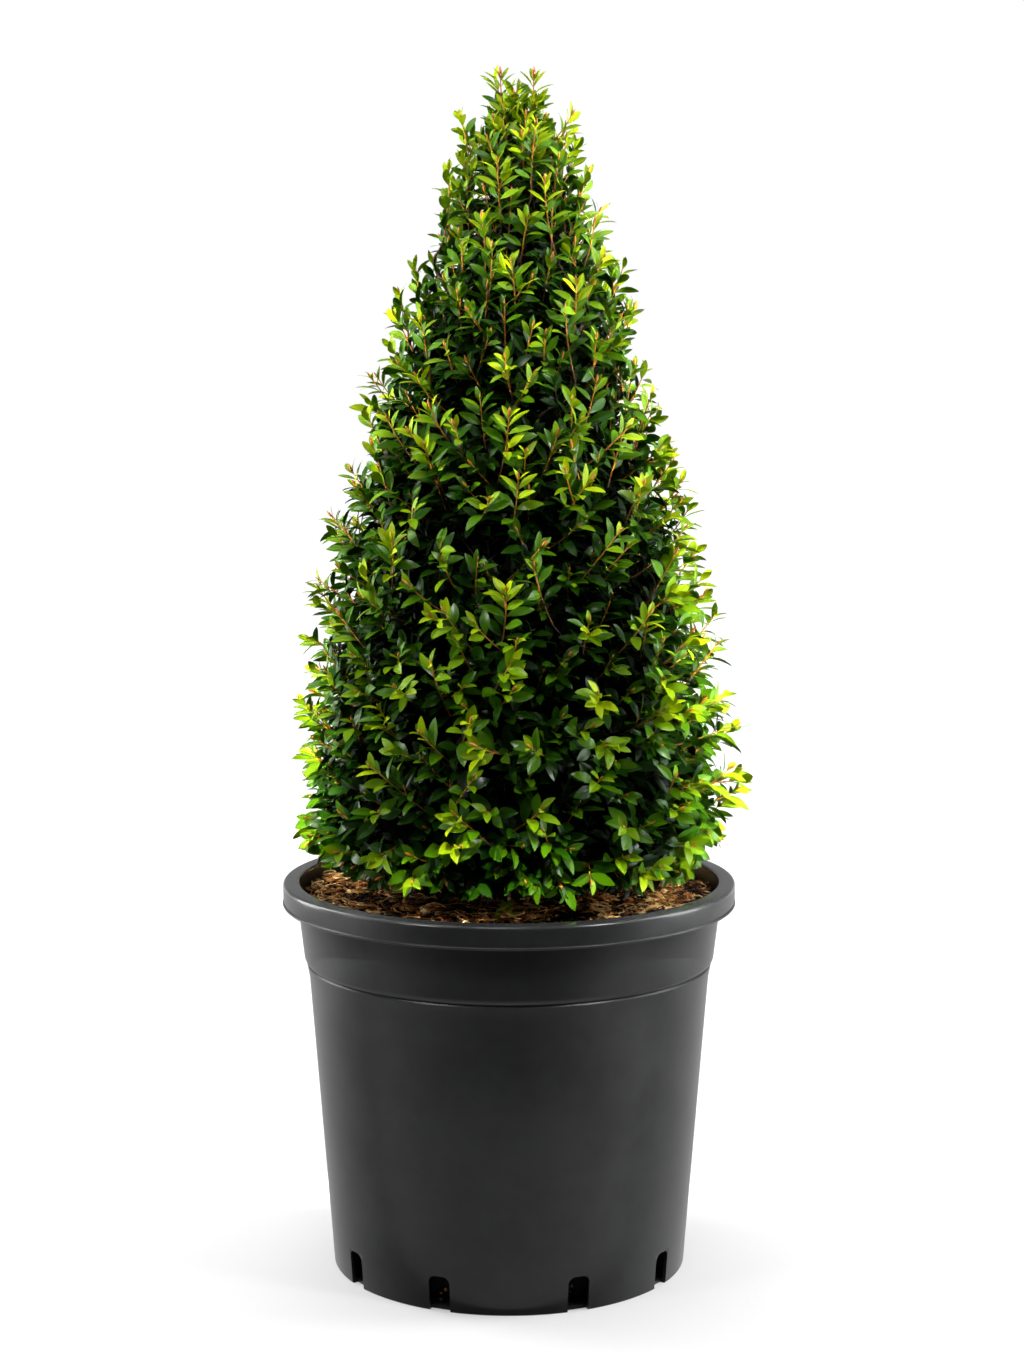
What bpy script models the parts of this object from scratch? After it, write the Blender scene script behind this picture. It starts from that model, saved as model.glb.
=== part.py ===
"""Potted cone topiary: a clipped cone of small opposite leaves on one leader, in a black nursery pot.

Sizes are in metres, +Z is up, and the origin is the centre of the pot's flat underside.
The camera's side of the plant is -Y.
"""

import math
import random

import bmesh
import bpy
from mathutils import Matrix, Vector, noise

# The pot
POT_SIDES = 54
RIM_RADIUS = 0.2225
RIM_CREST = 0.3848
RIM_SKIRT_FOOT = 0.3645
RIM_ROUND = 0.009
WALL = 0.003
CREST_INNER = 0.2095
BAND_TOP_RADIUS = 0.2072
BAND_FOOT_RADIUS = 0.2012
STEP_HEIGHT = 0.304
STEP_ROUND = 0.008
BODY_TOP_RADIUS = 0.1970
BASE_RADIUS = 0.1740
BASE_ROUND = 0.003
NOTCH_COUNT = 9
NOTCH_WIDTH = 0.022
NOTCH_HEIGHT = 0.030
NOTCH_DEPTH = 0.020
NOTCH_CORNER = 0.007

# The potting mix
SOIL_LEVEL = 0.3665
SOIL_LUMP = 0.007
SOIL_PAD_RADIUS = 0.034
SOIL_LUMP_RATE = 45.0
SOIL_RINGS = 6

# The gap between neighbours that rest on each other
CLEAR = 0.0003

# The trunk
TRUNK_RADIUS = 0.0135
TRUNK_TOP_RADIUS = 0.0050
TRUNK_TOP = 1.020
TRUNK_LEAN = 0.006
TRUNK_SWAY = 0.004
FLARE_RADIUS = 0.0105
FLARE_HEIGHT = 0.035
FLARE_ROOTS = 5
FLARE_TURN = 0.9
FLARE_RINGS = 4
TRUNK_SIDES = 12
TRUNK_RINGS = 9

# The crown: its half-width at some heights, and the limits that its leaves keep to
CROWN_PROFILE = (
    (0.385, 0.202),
    (0.440, 0.220),
    (0.560, 0.208),
    (0.660, 0.193),
    (0.750, 0.175),
    (0.850, 0.142),
    (0.950, 0.112),
    (1.050, 0.076),
    (1.120, 0.050),
    (1.165, 0.024),
)
CROWN_FOOT = 0.3790
MULCH_REACH = 0.1955
CROWN_OVER_RIM = 0.3870
CROWN_TOP = 1.173
CORE_INSET = 0.054
CORE_SHARE = 0.56
CORE_SIDES = 18
CORE_RINGS = 11
CORE_FOOT = 0.383
CORE_SHOULDER = 0.405
CORE_TUCK = 0.018
CORE_TOP = 1.120
CORE_DOME = 0.006
CORE_LUMP = 0.016
CORE_LUMP_RATE = 31.0

# Shoots and leaves, larger than life because there are fewer of them, and smaller towards the tip
SHOOT_COUNT = 104
TWIG_LONGEST = 0.150
TWIG_STEP = 0.002
TWIG_ROOT = 0.014
LEAF_OVERHANG = 0.026
LOWEST_SHOOT = 0.414
HIGHEST_SHOOT = 1.158
LEADER_REACH = 1.170
LEADER_SHOOTS = (-0.0085, 0.0237)
LOWEST_LIFT = 2
HIGHEST_LIFT = 68
LIFT_CURVE = 0.8
TIP_SCALE = 0.68
TWIG_RADIUS = 0.0034
TWIG_TIP_RADIUS = 0.0018
LEAF_PAIRS = ((0.024, 58, 1.0), (0.006, 32, 0.84))
LEAF_LENGTH = 0.074
LEAF_WIDTH = 0.040
LEAF_THICKNESS = 0.0024
LEAF_FOLD = 0.0045
LEAF_SHRINK = 0.66
LEAF_SINK = 0.0007
CROWN_SEED = 7

parts = None
helpers = None


def empty_scene():
    """Removes what the startup file holds and makes the two collections."""
    global parts, helpers
    for found in list(bpy.data.objects):
        bpy.data.objects.remove(found, do_unlink=True)
    parts = bpy.data.collections.new("potted_cone_topiary")
    helpers = bpy.data.collections.new("cutters")
    helpers.hide_render = True
    for made in (parts, helpers):
        bpy.context.scene.collection.children.link(made)


def material(name, colour, roughness):
    made = bpy.data.materials.new(name)
    made.use_nodes = True
    shader = made.node_tree.nodes["Principled BSDF"]
    shader.inputs["Base Color"].default_value = (*colour, 1.0)
    shader.inputs["Roughness"].default_value = roughness
    shader.inputs["Metallic"].default_value = 0.0
    made.diffuse_color = (*colour, 1.0)
    return made


def add_object(name, mesh, group):
    made = bpy.data.objects.new(name, mesh)
    group.objects.link(made)
    if group is helpers:
        made.hide_render = True
        made.display_type = "WIRE"
    return made


def mesh_from(name, shape):
    """Turns a bmesh into a mesh and frees it."""
    mesh = bpy.data.meshes.new(name)
    shape.to_mesh(mesh)
    shape.free()
    return mesh


def evaluated_mesh(source):
    bpy.context.view_layer.update()
    graph = bpy.context.evaluated_depsgraph_get()
    return bpy.data.meshes.new_from_object(source.evaluated_get(graph))


def apply_modifiers(target):
    """Keeps what the modifiers make, and drops them."""
    mesh = evaluated_mesh(target)
    target.modifiers.clear()
    target.data = mesh


def turned(name, profile, sides, group):
    """A profile of (radius, height) points, turned about Z."""
    shape = bmesh.new()
    corners = [shape.verts.new((radius, 0.0, height)) for radius, height in profile]
    for first, second in zip(corners, corners[1:]):
        shape.edges.new((first, second))
    made = add_object(name, mesh_from(name, shape), group)
    screw = made.modifiers.new("turn", "SCREW")
    screw.steps = sides
    screw.render_steps = sides
    screw.use_merge_vertices = True
    screw.merge_threshold = 0.0001
    return made


def arc(centre, radius, start, end, steps):
    """Points on an arc of the profile, with angles in degrees from +X towards +Z."""
    points = []
    for step in range(steps + 1):
        angle = math.radians(start + (end - start) * step / steps)
        points.append((centre[0] + radius * math.cos(angle), centre[1] + radius * math.sin(angle)))
    return points


def body_radius(height):
    """The pot's outer radius below its step."""
    return BASE_RADIUS + (BODY_TOP_RADIUS - BASE_RADIUS) * height / STEP_HEIGHT


def inner_radius(height):
    """The radius of the pot's inside."""
    if height <= STEP_HEIGHT - WALL:
        return body_radius(height) - WALL
    band_foot = STEP_HEIGHT + STEP_ROUND
    if height < band_foot:
        share = (height - STEP_HEIGHT + WALL) / (STEP_ROUND + WALL)
        low = body_radius(STEP_HEIGHT - WALL) - WALL
        return low + share * (BAND_FOOT_RADIUS - WALL - low)
    share = (height - band_foot) / (RIM_SKIRT_FOOT - band_foot)
    return BAND_FOOT_RADIUS - WALL + share * (BAND_TOP_RADIUS - BAND_FOOT_RADIUS)


def pot_profile():
    """Runs from the middle of the floor up the inside, over the rim and down the outside."""
    points = [(0.0, WALL), (body_radius(WALL) - WALL, WALL)]
    points += [(inner_radius(height), height) for height in (STEP_HEIGHT - WALL, STEP_HEIGHT + STEP_ROUND)]
    points.append((inner_radius(RIM_SKIRT_FOOT), RIM_SKIRT_FOOT))
    points += arc((CREST_INNER, RIM_CREST - WALL), WALL, 180, 90, 2)
    points += arc((RIM_RADIUS - RIM_ROUND, RIM_CREST - RIM_ROUND), RIM_ROUND, 90, 0, 3)
    points += [(RIM_RADIUS, RIM_SKIRT_FOOT), (RIM_RADIUS - WALL, RIM_SKIRT_FOOT)]
    under = RIM_ROUND - WALL
    points += arc((RIM_RADIUS - RIM_ROUND, RIM_CREST - RIM_ROUND), under, 0, 90, 2)
    points.append((CREST_INNER + WALL / 2, RIM_CREST - 2 * WALL))
    points.append((BAND_TOP_RADIUS, RIM_SKIRT_FOOT))
    points += arc((BAND_FOOT_RADIUS - STEP_ROUND, STEP_HEIGHT + STEP_ROUND), STEP_ROUND, 0, -60, 2)
    points.append((body_radius(STEP_HEIGHT - WALL), STEP_HEIGHT - WALL))
    points += [(body_radius(BASE_ROUND), BASE_ROUND), (BASE_RADIUS - BASE_ROUND, 0.0), (0.0, 0.0)]
    return points


def notch_outline():
    """A doorway with round top corners, standing in the XZ plane."""
    half = NOTCH_WIDTH / 2
    straight = half - NOTCH_CORNER
    top = NOTCH_HEIGHT - NOTCH_CORNER
    points = [(half, -NOTCH_HEIGHT)]
    points += arc((straight, top), NOTCH_CORNER, 0, 90, 3)
    points += arc((-straight, top), NOTCH_CORNER, 90, 180, 3)
    points.append((-half, -NOTCH_HEIGHT))
    return points


def notch_cutter():
    """All the drain notches in one cutter, spaced evenly, with one half a step from the front."""
    cutter = bmesh.new()
    near = BASE_RADIUS - NOTCH_DEPTH
    far = RIM_RADIUS
    for index in range(NOTCH_COUNT):
        turn = Matrix.Rotation(math.radians(-90 + (index + 0.5) * 360 / NOTCH_COUNT), 4, "Z")
        corners = [cutter.verts.new(turn @ Vector((near, across, up))) for across, up in notch_outline()]
        face = cutter.faces.new(corners)
        grown = bmesh.ops.extrude_face_region(cutter, geom=[face])["geom"]
        moved = [found for found in grown if isinstance(found, bmesh.types.BMVert)]
        bmesh.ops.translate(cutter, verts=moved, vec=turn @ Vector((far - near, 0.0, 0.0)))
    bmesh.ops.recalc_face_normals(cutter, faces=cutter.faces)
    return add_object("notch_cutter", mesh_from("notch_cutter", cutter), helpers)


def cut(target, cutter):
    modifier = target.modifiers.new("cut", "BOOLEAN")
    modifier.operation = "DIFFERENCE"
    modifier.solver = "EXACT"
    modifier.object = cutter


def make_pot(cutter):
    pot = turned("pot", pot_profile(), POT_SIDES, parts)
    cut(pot, cutter)
    pot.data.materials.append(material("pot_plastic", (0.030, 0.031, 0.033), 0.42))
    return pot


def soil_profile():
    """The mix fills the pot: its rim, then its side down to the floor."""
    edge = inner_radius(SOIL_LEVEL - SOIL_LUMP) - 2 * CLEAR
    points = [(0.0, SOIL_LEVEL), (SOIL_PAD_RADIUS, SOIL_LEVEL)]
    for ring in range(1, SOIL_RINGS):
        points.append((SOIL_PAD_RADIUS + (edge - SOIL_PAD_RADIUS) * ring / SOIL_RINGS, SOIL_LEVEL))
    points.append((edge, SOIL_LEVEL - SOIL_LUMP))
    for height in (STEP_HEIGHT + STEP_ROUND, STEP_HEIGHT - WALL, WALL + CLEAR):
        points.append((inner_radius(height) - 2 * CLEAR, height))
    points.append((0.0, WALL + CLEAR))
    return points


def make_soil():
    soil = turned("soil", soil_profile(), POT_SIDES, parts)
    apply_modifiers(soil)
    for corner in soil.data.vertices:
        out = math.hypot(corner.co.x, corner.co.y)
        if corner.co.z > SOIL_LEVEL - SOIL_LUMP / 2 and out > SOIL_PAD_RADIUS * 1.05:
            corner.co.z += SOIL_LUMP * noise.noise(corner.co * SOIL_LUMP_RATE)
    soil.data.materials.append(material("bark_mulch", (0.110, 0.060, 0.032), 0.90))
    return soil


def trunk_radius(height):
    """The trunk's taper over its length."""
    share = (height - SOIL_LEVEL) / (TRUNK_TOP - SOIL_LEVEL)
    return TRUNK_RADIUS + (TRUNK_TOP_RADIUS - TRUNK_RADIUS) * share


def trunk_axis(height):
    """The middle of the trunk at a height: a slight lean to +X, with one slow bend."""
    share = (height - SOIL_LEVEL) / (TRUNK_TOP - SOIL_LEVEL)
    bend = TRUNK_SWAY * math.sin(share * 2 * math.pi)
    return Vector((TRUNK_LEAN * share + bend, bend * 0.6, height))


def trunk_surface(turn, height, extra):
    """A point on the bark: the taper, and near the mulch the root flare with its lobes."""
    rise = min(max((height - SOIL_LEVEL) / FLARE_HEIGHT, 0.0), 1.0)
    root = 0.6 + 0.4 * math.cos(FLARE_ROOTS * turn + FLARE_TURN)
    radius = trunk_radius(max(height, SOIL_LEVEL)) + FLARE_RADIUS * root * (1.0 - rise) ** 2 + extra
    return trunk_axis(height) + Vector((math.cos(turn), math.sin(turn), 0.0)) * radius


def trunk_mesh(name, extra=0.0, below=0.0):
    """A limb grown ring by ring from its flat foot, thicker by extra and longer by below."""
    foot = SOIL_LEVEL + CLEAR
    knee = foot + FLARE_HEIGHT
    heights = [foot + (knee - foot) * step / FLARE_RINGS for step in range(FLARE_RINGS)]
    limb = TRUNK_TOP + extra - knee
    heights += [knee + limb * step / TRUNK_RINGS for step in range(TRUNK_RINGS + 1)]
    if below:
        heights.insert(0, foot - below)
    shape = bmesh.new()
    ring = bmesh.ops.create_circle(shape, segments=TRUNK_SIDES, radius=1.0)["verts"]
    turns = [math.atan2(corner.co.y, corner.co.x) for corner in ring]
    for corner, turn in zip(ring, turns):
        corner.co = trunk_surface(turn, heights[0], extra)
    edges = list(shape.edges)
    middle = trunk_axis(heights[0])
    for height in heights[1:]:
        grown = bmesh.ops.extrude_edge_only(shape, edges=edges)["geom"]
        edges = [found for found in grown if isinstance(found, bmesh.types.BMEdge)]
        for corner in [found for found in grown if isinstance(found, bmesh.types.BMVert)]:
            turn = math.atan2(corner.co.y - middle.y, corner.co.x - middle.x)
            corner.co = trunk_surface(turn, height, extra)
        middle = trunk_axis(height)
    bmesh.ops.holes_fill(shape, edges=shape.edges, sides=0)
    bmesh.ops.recalc_face_normals(shape, faces=shape.faces)
    return mesh_from(name, shape)


def make_trunk():
    trunk = add_object("trunk", trunk_mesh("trunk"), parts)
    trunk.data.materials.append(material("trunk_bark", (0.175, 0.105, 0.062), 0.85))
    return trunk


def crown_radius(height):
    """The crown's half-width, read along its profile."""
    low, high = CROWN_PROFILE[0], CROWN_PROFILE[-1]
    if height <= low[0]:
        return low[1]
    for low, high in zip(CROWN_PROFILE, CROWN_PROFILE[1:]):
        if height <= high[0]:
            break
    share = min((height - low[0]) / (high[0] - low[0]), 1.0)
    return low[1] + share * (high[1] - low[1])


def crown_middle(height):
    """The crown's middle follows the trunk, and keeps its lean above it."""
    middle = trunk_axis(min(height, TRUNK_TOP))
    return Vector((middle.x, middle.y, height))


def core_radius(height):
    """The core lies inside the crown's outline, nearer to it where the crown is thin."""
    wide = crown_radius(height)
    return wide - min(CORE_INSET, wide * CORE_SHARE)


def core_profile():
    """From the axis down the outside to the foot, which is drawn in under the lowest leaves."""
    points = [(0.0, CORE_TOP + CORE_DOME)]
    for ring in range(CORE_RINGS + 1):
        height = CORE_TOP + (CORE_SHOULDER - CORE_TOP) * ring / CORE_RINGS
        points.append((core_radius(height), height))
    points.append((core_radius(CORE_FOOT) - CORE_TUCK, CORE_FOOT))
    points.append((0.0, CORE_FOOT))
    return points


def make_core():
    """A lumpy turned cone, bored for the trunk with a small clearance. It becomes the crown."""
    core = turned("crown", core_profile(), CORE_SIDES, parts)
    apply_modifiers(core)
    for corner in core.data.vertices:
        out = Vector((corner.co.x, corner.co.y, 0.0))
        if out.length > 0.001:
            corner.co += out.normalized() * CORE_LUMP * noise.noise(corner.co * CORE_LUMP_RATE)
        middle = crown_middle(corner.co.z)
        corner.co += Vector((middle.x, middle.y, 0.0))
    bore = add_object("trunk_clearance", trunk_mesh("trunk_clearance", 2 * CLEAR, 0.02), helpers)
    cut(core, bore)
    apply_modifiers(core)
    return core


def twig_mesh(start, direction, length):
    """A three-sided twig that tapers to its bud."""
    shape = bmesh.new()
    bmesh.ops.create_cone(
        shape,
        cap_ends=True,
        segments=3,
        radius1=TWIG_RADIUS,
        radius2=TWIG_TIP_RADIUS,
        depth=length,
    )
    turn = direction.to_track_quat("Z", "Y").to_matrix().to_4x4()
    place = Matrix.Translation(start + direction * (length / 2)) @ turn
    bmesh.ops.transform(shape, matrix=place, verts=shape.verts)
    return mesh_from("twig", shape)


def leaf_mesh(root, along, facing, size):
    """A folded leaf of eight faces: its root and tip are the poles, its widest part the equator."""
    shape = bmesh.new()
    bmesh.ops.create_uvsphere(shape, u_segments=4, v_segments=2, radius=1.0)
    across = along.cross(facing).normalized()
    up = across.cross(along).normalized()
    for corner in shape.verts:
        length = (corner.co.z + 1.0) / 2 * LEAF_LENGTH * size
        side = corner.co.x * LEAF_WIDTH / 2 * size
        rise = corner.co.y * LEAF_THICKNESS / 2 + abs(corner.co.x) * LEAF_FOLD * size
        corner.co = root + along * length + across * side + up * rise
    bmesh.ops.recalc_face_normals(shape, faces=shape.faces)
    return mesh_from("leaf", shape)


def clear_of_pot(points):
    """Whether all the points keep above the mulch and the pot's rim, and below the crown's top."""
    for point in points:
        floor = CROWN_FOOT if math.hypot(point.x, point.y) < MULCH_REACH else CROWN_OVER_RIM
        if point.z < floor or point.z > CROWN_TOP:
            return False
    return True


def lift_at(height):
    """How steeply shoots stand at a height: almost level at the foot, upright near the tip."""
    share = (height - CROWN_FOOT) / (CROWN_TOP - CROWN_FOOT)
    return math.radians(LOWEST_LIFT + (HIGHEST_LIFT - LOWEST_LIFT) * share ** LIFT_CURVE)


def growth_at(height):
    """The size of twigs and leaves, which shrinks evenly towards the crown's tip."""
    share = (height - CROWN_FOOT) / (CROWN_TOP - CROWN_FOOT)
    return 1.0 + (TIP_SCALE - 1.0) * share


def twig_length(end, direction):
    """How far back from its end a twig has to start to be rooted in the core."""
    length = TWIG_STEP
    while length < TWIG_LONGEST:
        start = end - direction * length
        middle = crown_middle(start.z)
        out = math.hypot(start.x - middle.x, start.y - middle.y)
        if start.z < CORE_TOP - TWIG_ROOT and out < core_radius(start.z) - TWIG_ROOT:
            break
        length += TWIG_STEP
    return length


def grow_shoot(group, reach_point, direction, rng):
    """One shoot: a twig, with crossed pairs of opposite leaves whose tips come out to its reach."""
    growth = growth_at(reach_point.z)
    end = reach_point - direction * LEAF_OVERHANG * growth
    length = twig_length(end, direction)
    add_object("twig", twig_mesh(end - direction * length, direction, length), group)
    spin = rng.uniform(0, math.pi)
    side = direction.orthogonal().normalized()
    kept = 0
    for pair, (back, spread, scale) in enumerate(LEAF_PAIRS):
        for half in range(2):
            outward = Matrix.Rotation(spin + (pair / 2 + half) * math.pi, 3, direction) @ side
            lean = math.radians(spread + rng.uniform(-8, 8))
            along = direction * math.cos(lean) + outward * math.sin(lean)
            roll = math.radians(rng.choice((-1, 1)) * rng.uniform(6, 22))
            facing = Matrix.Rotation(roll, 3, along) @ direction
            root = end - direction * (back * growth) - along * LEAF_SINK
            size = growth * scale * rng.uniform(0.88, 1.08)
            for shrink in (1.0, LEAF_SHRINK):
                leaf = leaf_mesh(root, along, facing, size * shrink)
                if clear_of_pot([corner.co for corner in leaf.vertices]):
                    add_object("leaf", leaf, group)
                    kept += 1
                    break
                bpy.data.meshes.remove(leaf)
    return kept


def shoots_per_height(height):
    """The surface area for each metre of height, counted in shoots of the size that grows there."""
    step = 0.005
    slope = (crown_radius(height + step) - crown_radius(height - step)) / (2 * step)
    return 2 * math.pi * crown_radius(height) * math.hypot(1.0, slope) / growth_at(height) ** 2


def shoot_places(rng):
    """Reach points and directions of the shoots, on a spiral that spreads them evenly."""
    samples = 200
    rise = (HIGHEST_SHOOT - LOWEST_SHOOT) / samples
    total = sum(shoots_per_height(LOWEST_SHOOT + rise * (step + 0.5)) for step in range(samples)) * rise
    golden = math.pi * (3 - math.sqrt(5))
    height = LOWEST_SHOOT
    found = []
    for index in range(SHOOT_COUNT):
        turn = index * golden + rng.uniform(-0.10, 0.10)
        level = height + rng.uniform(-0.008, 0.008)
        reach = crown_radius(level) + rng.uniform(-0.006, 0.008)
        lift = lift_at(level) + math.radians(rng.uniform(-8, 8))
        out = Vector((math.cos(turn), math.sin(turn), 0.0))
        direction = out * math.cos(lift) + Vector((0.0, 0.0, math.sin(lift)))
        found.append((crown_middle(level) + out * reach, direction))
        height += total / SHOOT_COUNT / shoots_per_height(height)
    upright = Vector((0.0, 0.0, 1.0))
    found += [(Vector((across, 0.0, LEADER_REACH)), upright) for across in LEADER_SHOOTS]
    return found


def keep_main_body(mesh):
    """Fills hollows that the union sealed and drops loose scraps: only the largest shell stays."""
    shape = bmesh.new()
    shape.from_mesh(mesh)
    shells = []
    unseen = set(shape.faces)
    while unseen:
        front = [unseen.pop()]
        shell = set(front)
        while front:
            face = front.pop()
            near = {other for edge in face.edges for other in edge.link_faces} & unseen
            unseen -= near
            shell |= near
            front += near
        shells.append(shell)
    shells.sort(key=lambda shell: sum(face.calc_area() for face in shell))
    spare = [face for shell in shells[:-1] for face in shell]
    bmesh.ops.delete(shape, geom=spare, context="FACES")
    shape.to_mesh(mesh)
    shape.free()
    return len(shells) - 1


def make_crown():
    """The clipped cone: a core round the trunk, and leafy shoots that stand out of it, all one body."""
    rng = random.Random(CROWN_SEED)
    crown = make_core()
    pieces = bpy.data.collections.new("crown_pieces")
    bpy.context.scene.collection.children.link(pieces)
    leaves = 0
    for reach_point, direction in shoot_places(rng):
        leaves += grow_shoot(pieces, reach_point, direction, rng)
    join = crown.modifiers.new("join", "BOOLEAN")
    join.operation = "UNION"
    join.operand_type = "COLLECTION"
    join.collection = pieces
    join.solver = "EXACT"
    apply_modifiers(crown)
    for found in list(pieces.objects):
        bpy.data.objects.remove(found, do_unlink=True)
    bpy.data.collections.remove(pieces)
    dropped = keep_main_body(crown.data)
    crown.data.materials.clear()
    crown.data.materials.append(material("eugenia_leaf", (0.105, 0.205, 0.040), 0.45))
    print(f"crown: {leaves} leaves, {dropped} shells dropped")
    return crown


def shade_round(target, degrees):
    apply_modifiers(target)
    target.data.shade_smooth()
    target.data.set_sharp_from_angle(angle=math.radians(degrees))


def main():
    empty_scene()
    pot = make_pot(notch_cutter())
    shade_round(pot, 35)
    make_soil()
    trunk = make_trunk()
    shade_round(trunk, 50)
    make_crown()
    whole = bpy.data.objects.new("potted_cone_topiary", None)
    parts.objects.link(whole)
    for piece in parts.objects:
        if piece is not whole:
            piece.parent = whole


main()
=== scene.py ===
import math
import random

import bmesh
import bpy
import numpy as np
from mathutils import Matrix, Vector, noise


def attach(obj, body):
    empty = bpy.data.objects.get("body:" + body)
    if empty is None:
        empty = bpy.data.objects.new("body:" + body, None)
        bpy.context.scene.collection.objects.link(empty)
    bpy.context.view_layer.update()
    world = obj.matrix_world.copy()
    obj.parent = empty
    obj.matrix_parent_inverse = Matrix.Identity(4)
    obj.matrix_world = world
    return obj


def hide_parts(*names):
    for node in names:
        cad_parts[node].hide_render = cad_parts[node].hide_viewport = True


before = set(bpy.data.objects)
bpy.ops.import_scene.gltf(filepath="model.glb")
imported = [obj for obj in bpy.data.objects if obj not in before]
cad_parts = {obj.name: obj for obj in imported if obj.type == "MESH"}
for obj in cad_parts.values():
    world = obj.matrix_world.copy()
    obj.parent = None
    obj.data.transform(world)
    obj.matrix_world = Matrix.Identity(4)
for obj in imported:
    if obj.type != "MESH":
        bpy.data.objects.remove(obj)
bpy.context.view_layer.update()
scene = bpy.context.scene
upright = Vector((0.0, 0.0, 1.0))
goldenTurn = math.pi * (3 - math.sqrt(5))


def clamp(value, low=0.0, high=1.0):
    return min(max(value, low), high)


def outward(turn):
    return Vector((math.cos(turn), math.sin(turn), 0.0))


def tilted(way, lift):
    # a level way raised by an angle
    return way * math.cos(lift) + upright * math.sin(lift)


# Node trees: a Signal is a socket that sums and multiplies like a number
class Signal:
    def __init__(self, nodes, socket):
        self.nodes = nodes
        self.socket = socket

    def maths(self, operation, first, second):
        return self.nodes.add("ShaderNodeMath", {"operation": operation}, {0: first, 1: second})

    def __add__(self, other):
        return self.maths("ADD", self, other)

    __radd__ = __add__

    def __sub__(self, other):
        return self.maths("SUBTRACT", self, other)

    def __rsub__(self, other):
        return self.maths("SUBTRACT", other, self)

    def __mul__(self, other):
        return self.maths("MULTIPLY", self, other)

    __rmul__ = __mul__


class Nodes:
    def __init__(self, tree):
        self.tree = tree

    def feed(self, socket, value):
        if isinstance(value, Signal):
            self.tree.links.new(value.socket, socket)
        else:
            socket.default_value = value

    def add(self, kind, settings=None, values=None, output=0):
        made = self.tree.nodes.new(kind)
        for name, value in (settings or {}).items():
            setattr(made, name, value)
        for name, value in (values or {}).items():
            self.feed(made.inputs[name], value)
        return Signal(self, made.outputs[output] if made.outputs else None)

    def noise(self, place, scale, detail=2.0, roughness=0.5):
        values = {"Vector": place, "Scale": scale, "Detail": detail, "Roughness": roughness}
        return self.add("ShaderNodeTexNoise", {}, values)

    def between(self, signal, low, high):
        # 0 where the signal is at low, 1 where it is at high
        settings = {"interpolation_type": "SMOOTHSTEP"}
        return self.add("ShaderNodeMapRange", settings, {0: signal, 1: low, 2: high})

    def blend(self, factor, first, second):
        first, second = (c if isinstance(c, Signal) else (*c, 1.0) for c in (first, second))
        return self.add("ShaderNodeMix", {"data_type": "RGBA"}, {0: factor, 6: first, 7: second}, 2)


class Finish:
    def __init__(self, name, colour, roughness, **more):
        self.material = bpy.data.materials.new(name)
        self.material.use_nodes = True
        self.nodes = Nodes(self.material.node_tree)
        self.shader = self.material.node_tree.nodes["Principled BSDF"]
        self.material.diffuse_color = (*colour, 1.0)
        self.set("Base Color", (*colour, 1.0))
        self.set("Roughness", roughness)
        for name, value in more.items():
            self.set(name.replace("_", " "), value)

    def set(self, name, value):
        self.nodes.feed(self.shader.inputs[name], value)

    def place(self):
        return self.nodes.add("ShaderNodeTexCoord", output=3)  # Object coordinates

    def bump(self, height, strength, distance):
        values = {"Strength": strength, "Distance": distance, "Height": height}
        self.set("Normal", self.nodes.add("ShaderNodeBump", {}, values))


# Pieces
def addPiece(name, mesh, finish, nodeName):
    piece = bpy.data.objects.new(name, mesh)
    scene.collection.objects.link(piece)
    mesh.materials.clear()
    mesh.materials.append(finish.material)
    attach(piece, "root")
    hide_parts(nodeName)
    print(name, len(mesh.polygons), "faces")


def meshFromShape(name, shape):
    mesh = bpy.data.meshes.new(name)
    shape.to_mesh(mesh)
    shape.free()
    return mesh


def arraysFromShape(shape):
    shape.verts.index_update()
    corners = np.array([corner.co for corner in shape.verts])
    faces = np.array([[corner.index for corner in face.verts] for face in shape.faces])
    shape.free()
    return corners, faces


def joinParts(parts):
    corners, triangles, start = [], [], 0
    for points, faces in parts:
        corners.append(points)
        triangles.append(faces + start)
        start += len(points)
    return np.concatenate(corners), np.concatenate(triangles)


def meshFromArrays(name, corners, triangles):
    # a joined mesh of many small things
    mesh = bpy.data.meshes.new(name)
    mesh.from_pydata(corners, [], triangles, shade_flat=False)
    return mesh


def arc(centre, radius, start, end, steps):
    turns = [math.radians(start + (end - start) * step / steps) for step in range(steps + 1)]
    return [(centre[0] + radius * math.cos(t), centre[1] + radius * math.sin(t)) for t in turns]


def turnedShape(outline, steps):
    # an outline of (radius, height) points spun about the pot's axis
    shape = bmesh.new()
    corners = [shape.verts.new((radius, 0.0, height)) for radius, height in outline]
    edges = [shape.edges.new(pair) for pair in zip(corners, corners[1:])]
    bmesh.ops.spin(shape, geom=corners + edges, cent=(0, 0, 0), axis=(0, 0, 1), dvec=(0, 0, 0),
                   angle=2 * math.pi, steps=steps, use_merge=True, use_duplicate=False)
    bmesh.ops.remove_doubles(shape, verts=shape.verts, dist=0.00002)
    bmesh.ops.recalc_face_normals(shape, faces=shape.faces)
    return shape


def smoothBelow(mesh, degrees):
    mesh.shade_smooth()
    mesh.set_sharp_from_angle(angle=math.radians(degrees))


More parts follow.
